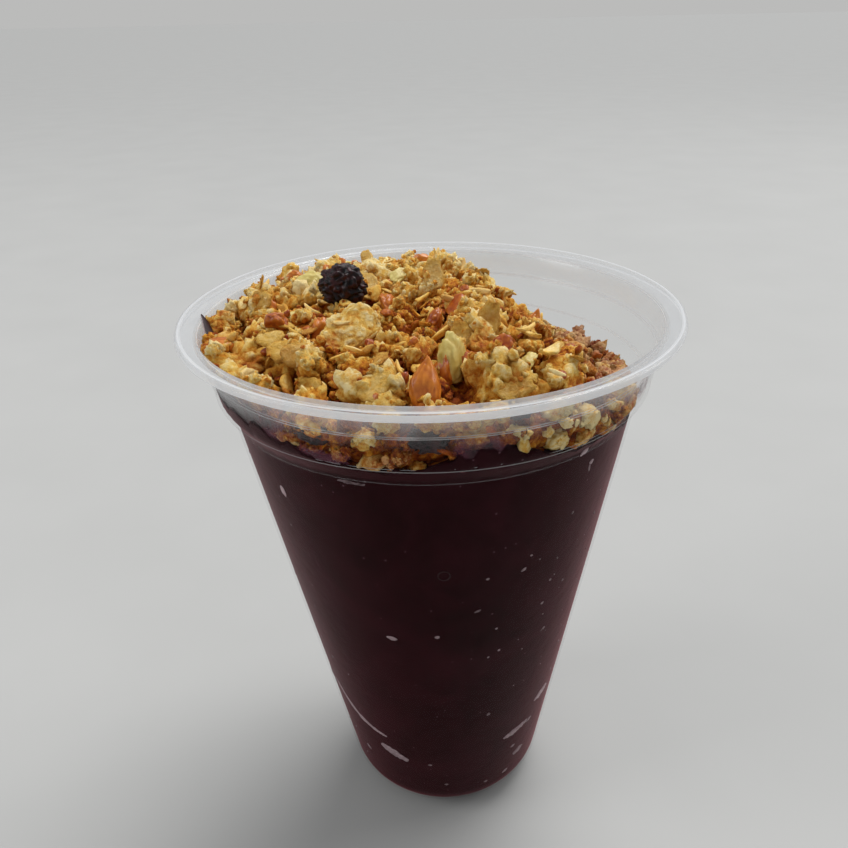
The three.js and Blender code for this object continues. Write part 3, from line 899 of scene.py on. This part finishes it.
# Upright and leaning flakes that stand out: x, y, half length, height of the middle, facing, spin, shade.
for x, y, half, lift, facing, spin, lighter in (
        (0.5, 3.0, 3.2, 0.8, (0.15, -0.8, 0.5), 1.4, 0.06), (9.5, -18.5, 3.2, 0.3, (0.1, -0.9, 0.4), 1.2, -0.05),
        (5.0, -19.5, 3.0, 0.3, (-0.2, -0.85, 0.5), 1.8, -0.05), (-24, -24.0, 3.0, 0.4, (0, -0.5, 0.85), 0.15, -0.06),
        (-21.5, -26.0, 3.2, 0.2, (0.1, -0.8, 0.6), -0.1, 0.02), (-27, -20.5, 2.6, 0.3, (-0.2, -0.4, 0.9), 0.3, -0.02),
        (-9.0, -35.0, 3.0, 0.3, (-0.2, -0.6, 0.8), 0.9, 0.04), (12.5, -34.0, 3.2, 0.3, (0.1, -0.7, 0.7), 0.2, 0.02),
        (-13.0, 9.5, 3.4, 0.4, (0.5, -0.5, 0.7), 0.7, 0.04), (-15.0, 8.0, 3.4, 0.6, (0.5, -0.5, 0.7), 0.9, 0.02)):
    found = heap_now(x, y)
    parts.append((oat_flakes[int(half * 10) % 7], placed(x, y, found[0] + lift, turned(facing, spin), half),
                  lighter, 0.0))
flakes = scatter_piece("granola_oat_flakes", parts, oat_skin)

# ---- Glazed nuts and fruit bits ----------------------------------------------------------------
# Chopped nuts in a hard honey glaze, red-brown to golden orange and shiny, and a few smooth,
# pale yellow-green slices of dried fruit.
def glazed_material(name, dark_hex, light_hex, roughness):
    """A smooth glaze over uneven, mottled pieces."""
    material, tree, place = new_material(name)
    mottle = noise_share(tree, place, 1 / (2.2 * MM), 4.0, 0.6)
    toned = calc(tree, "ADD", calc(tree, "MULTIPLY_ADD", mottle, 0.8, -0.4), attribute(tree, "shade"), clamp=True)
    show(tree, body(tree, ramp(tree, toned, ((0.15, dark_hex), (0.85, light_hex))), roughness,
                    {"IOR": 1.48, "Normal": bump(tree, mottle, 0.5, 0.3)}))
    return material


glazed_nut = glazed_material("honey-glazed nut", "#8A2A04", "#D48028", 0.30)
dried_fruit = glazed_material("dried pale fruit", "#B89838", "#E4D484", 0.45)
nut_lumps = [lump_mesh(131 + i, 4, (1.0, 0.72 + 0.06 * (i % 3), 0.58), 0.22, 0.16, 0.05, 4, 0, 0.1)
             for i in range(6)]
nut_bits = [lump_mesh(141 + i, 3, (1.0, 0.75, 0.6), 0.22, 0.16, 0.05, 4, 0, 0.1) for i in range(3)]
long_nut = lump_mesh(171, 4, (1.0, 0.66, 0.34), 0.16, 0.12, 0.04, 2, 0, 0.1, 0.75)
parts = []
# Each nut that stands out: x, y, half length, shade.
for x, y, half, lighter in ((-19.8, -10.5, 3.0, 0.05), (-3.5, -15.5, 3.0, -0.05), (1.5, -27.5, 3.0, -0.05),
                            (-27, -14.5, 2.6, -0.1), (-6.5, -7.5, 2.8, -0.05), (5, -3.5, 3.0, -0.1),
                            (11, -26, 2.2, -0.2), (6, -27, 2.4, -0.1), (-37, -15, 2.6, 0.0), (-15, -20, 2.2, 0.0),
                            (0.5, -9.5, 2.4, -0.1), (-8, -1, 2.4, 0.0), (13.5, -1.5, 2.2, 0.0), (-16, 14, 2.2, 0.0),
                            (-33.5, 10, 2.4, 0.0), (-3, 27, 2.4, 0.0), (12, 22, 2.4, -0.1), (-28, 18, 2.2, 0.0)):
    found = heap_now(x, y)
    parts.append((nut_lumps[int(abs(x) * 3) % 6], placed(x, y, found[0] - 0.3 * half, random_turn(), 1.15 * half),
                  lighter, 0.0))
for _ in range(70):
    x, y = heap_place(40)
    found = heap_now(x, y)
    if found:
        parts.append((dice.choice(nut_bits), placed(x, y, found[0] - 0.1, random_turn(), dice.uniform(0.7, 1.5)),
                      dice.uniform(-0.3, 0.2), 0.0))
# One long golden piece standing upright at the front, and a slender one beside the sunken part.
parts.append((long_nut, placed(-1.2, -35.6, 123.0, turned((0.12, -0.90, 0.40), 1.45), 4.3), 0.10, 0.0))
parts.append((long_nut, placed(18.5, -7.0, 120.6, turned((0.3, -0.9, 0.2), 1.2), 4.0), 0.16, 0.0))
nuts = scatter_piece("granola_glazed_nuts", parts, glazed_nut)

parts = []
# Each slice: x, y, half length, facing, spin.
for x, y, half, facing, spin in ((3.0, -27.0, 4.2, (0.35, -0.85, 0.40), 1.25), (-24.0, 8.5, 3.2, (-0.2, -0.7, 0.7), 0.2),
                                 (-26.0, -4.0, 2.2, (0, -0.3, 0.9), 0.5), (15.5, -27.0, 2.0, (0, -0.4, 0.9), 1.0),
                                 (-6.5, 12.0, 2.4, (0.2, -0.5, 0.8), 0.4), (-18, 27, 2.4, (0, 0.3, 0.9), 1.2)):
    found = heap_now(x, y)
    shape = lump_mesh(int(x * 3) + 400, 4, (1.0, 0.60, 0.26), 0.22, 0.16, 0.04, 2)
    parts.append((shape, placed(x, y, found[0] + 0.65 * half * (1 - facing[2]), turned(facing, spin), half),
                  0.0, 0.0))
fruit = scatter_piece("granola_fruit_slices", parts, dried_fruit)

# ---- Crumbs ------------------------------------------------------------------------------------
# Loose grains of baked crumb, one to two millimetres across, in every hollow and on the clusters.
grain_shapes = [lump_mesh(151 + i, 2, (1.0, 0.8, 0.7), 0.35, 0.3, 0.2, 3) for i in range(6)]
heap_now = surface_over([core, large, filling, medium, small, flakes])
parts = []
for _ in range(320):
    x, y = heap_place(42)
    found = heap_now(x, y)
    if found:
        half = min(1.1, 0.30 + dice.expovariate(4.5))
        parts.append((dice.choice(grain_shapes), placed(x, y, found[0] + 0.2 * half, random_turn(), half),
                      dice.uniform(-0.05, 0.30), 1.4 * stained_share(x, y) * dice.uniform(0.5, 1.3)))
crumbs = scatter_piece("granola_crumbs", parts, granola_crumb, smooth=False)

# ---- Raisins -----------------------------------------------------------------------------------
# Dried grapes: one lies on the heap and a few show dark against the wall. A leathery, nearly black
# skin shrunk into small folds, a little glossy.
raisin_skin, tree, place = new_material("dried grape skin")
bloom = noise_share(tree, place, 1 / (1.1 * MM), 4.0)
show(tree, body(tree, ramp(tree, bloom, ((0.40, "#0A0405"), (0.75, "#4A2426"))), 0.34, {
    "IOR": 1.45, "Specular IOR Level": 0.32, "Sheen Weight": 0.10, "Sheen Roughness": 0.4,
    "Sheen Tint": "#B87A80", "Normal": bump(tree, bloom, 0.7, 0.35)}))


def raisin_bm(detail, seed, folds=0.24):
    """A dried grape about one unit in half length: blocky, with a few deep folds and many small bumps."""
    bm = bmesh.new()
    bmesh.ops.create_icosphere(bm, subdivisions=detail, radius=1.0)
    offset = Vector((seed * 3.3, seed * 1.9, seed * 2.7))
    for v in bm.verts:
        p = v.co.copy()
        blocky = (abs(p.x) ** 3.2 + abs(p.y) ** 3.2 + abs(p.z) ** 3.2) ** (-1 / 3.2)
        q = p + Vector([noise.noise(p * 1.3 + offset * side) for side in (1, -1, 2)]) * 0.5
        fold = min(1.0, abs(noise.noise(Vector((q.x * 1.5, q.y * 2.6, q.z * 2.6)) + offset)) * 3.0)
        bumps = creases(q * 2.3, offset, 1.6)
        v.co = p * (0.5 + 0.5 * blocky) * (1.03 - folds * (1 - fold) + 0.10 * (bumps - 0.6))
    return bm


raisin_half = (raisin_high - raisin_low) / 2
bm = raisin_bm(5, 4)
bmesh.ops.scale(bm, vec=raisin_half, verts=bm.verts[:])
bmesh.ops.translate(bm, vec=raisin_middle, verts=bm.verts[:])
raisin = piece_from(mesh_from(bm, "raisin_on_top"), raisin_skin)
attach(raisin, "root")
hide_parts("raisin")


def at_wall(bearing, z_mm, inwards_mm):
    """A place in mm, so far inwards of the wall's inside at a bearing and height."""
    r = float(inner_radius(z_mm)) - inwards_mm
    return Vector((r * math.cos(bearing), r * math.sin(bearing), z_mm))


def wall_frame(bearing_deg, z_mm, proud_mm):
    """A matrix in mm at the wall's inside: X along the wall, Y up it and Z outwards, so far proud of it."""
    bearing = math.radians(bearing_deg)
    slope = math.atan2(float(inner_radius(z_mm + 1) - inner_radius(z_mm - 1)), 2.0)
    out = Vector((math.cos(bearing) * math.cos(slope), math.sin(bearing) * math.cos(slope), -math.sin(slope)))
    along = Vector((-math.sin(bearing), math.cos(bearing), 0))
    up = out.cross(along)
    frame_mm = Matrix((along, up, out)).transposed().to_4x4()
    frame_mm.translation = at_wall(bearing, z_mm, -proud_mm)
    return frame_mm


# Raisins seen through the wall: bearing in degrees, height, half width, half height in mm.
WALL_RAISINS = [(-91.5, 116.2, 3.6, 2.3), (-118.5, 115.8, 3.4, 2.1), (-72.5, 120.4, 2.3, 1.2),
                (128, 116.5, 3.2, 2.2), (176, 115.0, 3.0, 2.0), (-155, 114.5, 3.0, 2.0)]
bm = bmesh.new()
for i, (bearing_deg, z, half_wide, half_high) in enumerate(WALL_RAISINS):
    one = raisin_bm(4, 11 + i, 0.30)
    into_wall = wall_frame(bearing_deg, z, -1.9) @ Matrix.Diagonal((half_wide, half_high, 2.1, 1.0))
    bmesh.ops.transform(one, matrix=Matrix.Scale(MM, 4) @ into_wall, verts=one.verts[:])
    bm.from_mesh(mesh_from(one, f"wall_raisin_{i}"))
wall_raisins = piece_from(mesh_from(bm, "raisins_at_wall"), raisin_skin)
keep_inside_wall(wall_raisins.data, 0.06)
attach(wall_raisins, "root")

# ---- Granola at the wall -----------------------------------------------------------------------
# Clusters and crumbs that the cup's clear wall shows between the acai and the lip, pressed flat
# against it, with dark hollows between them and acai soaked into the lowest. The crumbs in the hollows
# are given darker shades, as painted shade, and the clusters paler ones, as painted light where the
# lip keeps the light from them.
# Chunks that stand out: bearing in degrees, height, half length, shade, stain.
NOTABLE_WALL_CHUNKS = [(-71, 114.1, 3.5, 0.50, 0.0), (-62.5, 112.8, 3.0, 0.40, 0.1), (-53.5, 115.8, 3.8, 0.56, 0.0),
                       (-63.5, 118.8, 3.0, 0.32, 0.0), (-45, 118.8, 3.0, 0.30, 0.1), (-53, 111.9, 2.5, 0.24, 0.2),
                       (-98.5, 113.2, 2.9, 0.0, 0.8), (-106, 116.2, 2.8, 0.24, 0.0), (-84, 120.0, 2.8, 0.08, 0.0),
                       (-112, 112.9, 2.8, 0.10, 0.5), (-100, 119.8, 2.8, 0.24, 0.0), (-38, 115.6, 3.0, 0.30, 0.2)]


def wall_spots(count, half_low, half_high, apart, low_share=0.04, high_share=0.9):
    """Places at the wall, kept apart: bearing in radians, height in mm, half length in mm."""
    spots = [(math.radians(b), z, 0.8 * wide) for b, z, wide, _ in WALL_RAISINS]
    spots += [(math.radians(b), z, half) for b, z, half, _, _ in NOTABLE_WALL_CHUNKS]
    for _ in range(count):
        best = None
        for _ in range(10):
            bearing = math.radians(dice.uniform(0.0, 360.0) - 180)
            low = top_of(acai_surface, 39.0 * math.cos(bearing), 39.0 * math.sin(bearing))
            high = top_of(heap_surface, 38.5 * math.cos(bearing), 38.5 * math.sin(bearing))
            if not low or not high:
                continue
            z = low[0] + (high[0] - low[0]) * dice.uniform(low_share, high_share)
            half = dice.uniform(half_low, half_high)
            gap = min([math.hypot((bearing - b) * 42, z - h) - apart * (half + s) for b, h, s in spots] or [99])
            if best is None or gap > best[0]:
                best = (gap, bearing, z, half, (z - low[0]) / max(1.0, high[0] - low[0]))
        if best and best[0] > -1.2:
            spots.append(best[1:4])
            yield best[1:]


def paler_side_with_painted_light(bearing):
    """How much paler the granola at the wall is: most at the right front, where its chunks are paler and painted light
    also makes up for the lip's shade.
    """
    return 0.50 * math.exp(-((math.degrees(bearing) + 58) / 22) ** 2)


parts = []
for i, (bearing_deg, z, half, lighter, stain) in enumerate(NOTABLE_WALL_CHUNKS):
    spot = at_wall(math.radians(bearing_deg), z, 0.45 * half)
    parts.append((medium_lumps[(2 * i) % 9], placed(*spot, random_turn(), half), lighter, stain))
# Painted light: the clusters' shades are raised, most at the right front.
for bearing, z, half, share in wall_spots(70, 2.8, 5.0, 0.80):
    low = sunken_share(39 * math.cos(bearing), 39 * math.sin(bearing))
    parts.append((dice.choice(medium_lumps), placed(*at_wall(bearing, z, 0.50 * half), random_turn(), half),
                  dice.uniform(0.0, 0.38) + paler_side_with_painted_light(bearing),
                  max(0.0, 0.8 - 1.6 * share) * dice.uniform(0.4, 1.2) + 0.3 * low))
wall_clusters = scatter_piece("granola_wall_clusters", parts, granola_crumb)
parts = []
# Painted shade: the crumbs between the clusters get darker shades.
for bearing, z, half, share in wall_spots(150, 0.8, 1.8, 0.7, low_share=0.0, high_share=0.88):
    low = sunken_share(39 * math.cos(bearing), 39 * math.sin(bearing))
    spot = at_wall(bearing, z, 0.45 * half + dice.uniform(0, 0.8))
    parts.append((dice.choice(small_lumps), placed(*spot, random_turn(), half),
                  dice.uniform(-0.26, 0.10) + paler_side_with_painted_light(bearing),
                  max(0.0, 1.0 - 1.8 * share) * dice.uniform(0.3, 1.2) + 0.5 * low))
wall_crumbs = scatter_piece("granola_wall_crumbs", parts, granola_crumb)

# ---- Acai smears -------------------------------------------------------------------------------
# Acai wiped thinly over the inside of the wall by the granola and the filling: dark where it is
# thick, pink and lilac where it thins out. Each is a thin skin that clings to the plastic.
acai_smear, tree, place = new_material("acai smeared thin")
acai_smear.blend_method = "HASHED"
cover = attribute(tree, "cover")
wiped = calc(tree, "MULTIPLY_ADD", noise_share(tree, place, 1 / (3.5 * MM), 5.0, 0.65), 2.6, -1.55)
smear_share = calc(tree, "MULTIPLY", calc(tree, "ADD", wiped, cover), calc(tree, "MULTIPLY", cover, 3.0, clamp=True),
                   clamp=True)
smear_body = body(tree, ramp(tree, smear_share, ((0.15, "#9A5068"), (0.85, "#2A1016"))), 0.4, {"IOR": 1.38})
smear_clear = add_node(tree, "ShaderNodeBsdfTransparent").outputs["BSDF"]
show(tree, mix_shaders(tree, smear_share, smear_clear, smear_body))

# Bearing from and to in degrees, height from and to in mm, cover from 0 to 1.
SMEARS = [(-168, -120, 109.8, 120.5, 1.30), (-128, -104, 109.5, 114.5, 0.60), (-89, -74, 110.0, 118.2, 0.80),
          (-48, -14, 112.0, 119.0, 0.60), (-66, -52, 120.8, 123.2, 0.40), (98, 112, 112.0, 116.0, 0.45),
          (112, 150, 109.8, 117.0, 0.65), (150, 172, 110.5, 115.0, 0.55), (-186, -168, 112.0, 117.0, 0.55),
          (50, 96, 108.5, 112.0, 0.30)]
bm = bmesh.new()
cover_layer = bm.verts.layers.float.new("cover")


def fade(t):
    """From 0 at either end of 0 to 1 up to 1 in the middle."""
    return min(1.0, 3.2 * max(0.0, min(t, 1 - t)))


for low_bearing, high_bearing, low_z, high_z, share in SMEARS:
    for v in bmesh.ops.create_grid(bm, x_segments=40, y_segments=16, size=0.5)["verts"]:
        across, upwards = v.co.x + 0.5, v.co.y + 0.5
        bearing = math.radians(low_bearing + (high_bearing - low_bearing) * across)
        z = low_z + (high_z - low_z) * upwards
        v.co = at_wall(bearing, z, 0.05) * MM
        v[cover_layer] = share * fade(across) * fade(upwards)
# A tongue of acai stands up on the inside of the wall at the left, thick at its foot.
TONGUE_BEARING, TONGUE_LOW_MM, TONGUE_HIGH_MM, TONGUE_BULGE_MM = 186.0, 115.5, 123.4, 3.2
for v in bmesh.ops.create_grid(bm, x_segments=16, y_segments=24, size=0.5)["verts"]:
    across, upwards = 2 * v.co.x, v.co.y + 0.5
    half_width = 7.0 * (1 - upwards) ** 0.8 + 0.4
    bearing = math.radians(TONGUE_BEARING + across * half_width - 5.0 * upwards)
    z = TONGUE_LOW_MM + (TONGUE_HIGH_MM - TONGUE_LOW_MM) * upwards
    v.co = at_wall(bearing, z, 0.06 + TONGUE_BULGE_MM * (1 - across * across) * (1 - upwards) ** 0.7) * MM
    v[cover_layer] = 1.6 * min(1.0, 3.0 * (1 - abs(across)))
bmesh.ops.recalc_face_normals(bm, faces=bm.faces[:])
smears = piece_from(mesh_from(bm, "acai_smears"), acai_smear)
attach(smears, "root")

# ---- Air pockets -------------------------------------------------------------------------------
# Small, flat air pockets and frost between the acai and the wall, where the filling didn't wet the
# plastic: pale pinkish-grey specks, dashes and a few long strokes near the base.
frost, tree, place = new_material("frosted air pocket")
rime = calc(tree, "MULTIPLY_ADD", noise_share(tree, place, 1 / (0.8 * MM), 3.0), 0.5, attribute(tree, "shade"),
            clamp=True)
show(tree, body(tree, ramp(tree, rime, ((0.1, "#2E1A1C"), (1.0, "#C4AAAE"))), 0.6, {"IOR": 1.31}))
pocket = lump_mesh(191, 2, (1.0, 1.0, 1.0), 0.30, 0.05, 0.0, 0)
add_shades(pocket, 0.0)
POCKET_HALF_DEPTH_MM = 0.09
dice = random.Random(57)
parts = []


def add_pocket(bearing_deg, z, half_wide, half_high, tilt_deg, paler):
    """A flat pocket just outside the acai's surface, within the wall's thickness."""
    parts.append((pocket, Matrix.Scale(MM, 4) @ wall_frame(bearing_deg, z, 0.12)
                  @ Matrix.Rotation(math.radians(tilt_deg), 4, "Z")
                  @ Matrix.Diagonal((half_wide, half_high, POCKET_HALF_DEPTH_MM, 1.0)), paler, 0.0))


def add_stroke(from_deg, from_z, to_deg, to_z, half_wide, paler, bend=0.0):
    """A long pocket, as overlapping short ones of uneven width."""
    length = math.hypot(math.radians(to_deg - from_deg) * float(inner_radius(from_z)), to_z - from_z)
    count = max(2, int(length / 0.45))
    for i in range(count + 1):
        t = i / count
        width = half_wide * (0.55 + 0.45 * math.sin(math.pi * t)) * dice.uniform(0.65, 1.2)
        add_pocket(from_deg + (to_deg - from_deg) * t, from_z + (to_z - from_z) * t - bend * math.sin(math.pi * t),
                   max(width, 0.5), width, dice.uniform(-25, 25), paler + dice.uniform(-0.10, 0.05))


# Single pockets: bearing in degrees, height, half width, half height in mm, tilt in degrees, paleness.
for pocket_row in ((-136.5, 99.4, 0.7, 1.2, 15, 0.62), (-107.5, 68, 1.1, 0.6, -15, 0.40), (-92, 69.4, 0.5, 0.45, 0, 0.30),
                   (-65, 84.4, 0.6, 0.35, 30, 0.24), (-76.5, 84.4, 0.35, 0.3, 0, 0.20), (-79, 76, 0.7, 0.28, 20, 0.14),
                   (-54.5, 72, 0.4, 0.35, 0, 0.24), (-50.5, 63, 0.45, 0.4, 0, 0.24), (-53, 78, 0.3, 0.3, 0, 0.26),
                   (-72, 69.6, 0.3, 0.25, 0, 0.22), (-44, 28, 1.0, 0.6, 20, 0.28), (-53, 21, 0.7, 0.5, 0, 0.24),
                   (-55, 10.8, 0.9, 0.6, 25, 0.34), (-91, 12.7, 0.5, 0.4, 0, 0.14), (-99, 21.5, 0.5, 0.35, 0, 0.14),
                   (-68, 10.4, 0.5, 0.4, 0, 0.22), (-51, 107.6, 1.1, 0.7, 30, 0.50), (-46.5, 104.4, 0.6, 0.5, 0, 0.42),
                   (-46.8, 103.2, 0.25, 0.8, 10, 0.30)):
    add_pocket(*pocket_row)
add_stroke(-151, 39, -121, 29.6, 0.8, 0.50, 1.8)
add_stroke(-124, 24.8, -112, 22.0, 1.5, 0.38)
add_stroke(-34, 36.2, -42, 35.0, 1.45, 0.55)
add_stroke(-47, 28.5, -60, 27.2, 1.15, 0.42)
add_stroke(-45, 17.2, -50, 16.7, 1.2, 0.28)
add_stroke(-114, 107.0, -108, 106.8, 0.40, 0.05)
# A faint ring, the rim of a bubble.
RING_DOTS, RING_RADIUS_MM = 22, 1.1
for i in range(RING_DOTS):
    turn = i * 2 * math.pi / RING_DOTS
    add_pocket(-89.2 + math.degrees(RING_RADIUS_MM * math.cos(turn) / 36.5), 86.5 + RING_RADIUS_MM * math.sin(turn),
               0.16, 0.16, 0, -0.22)
# Specks scattered by chance: a few at the right, more at the back, and some strokes there.
for _ in range(40):
    size = 0.12 + min(0.4, dice.expovariate(9))
    add_pocket(dice.uniform(-75, -25), dice.uniform(40, 106), size, size * dice.uniform(0.6, 1), dice.uniform(0, 180),
               dice.uniform(0.05, 0.3))
for _ in range(110):
    size = 0.15 + min(0.9, dice.expovariate(4))
    add_pocket(dice.uniform(-20, 230), dice.uniform(12, 108), size, size * dice.uniform(0.5, 1), dice.uniform(0, 180),
               dice.uniform(0.05, 0.4))
for _ in range(5):
    start_deg, start_z = dice.uniform(0, 200), dice.uniform(14, 60)
    add_stroke(start_deg, start_z, start_deg + dice.uniform(8, 16), start_z + dice.uniform(-3, 3),
               dice.uniform(0.5, 1.0), dice.uniform(0.2, 0.4))
pockets = piece_from(join_meshes("acai_air_pockets", parts), frost)
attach(pockets, "root")
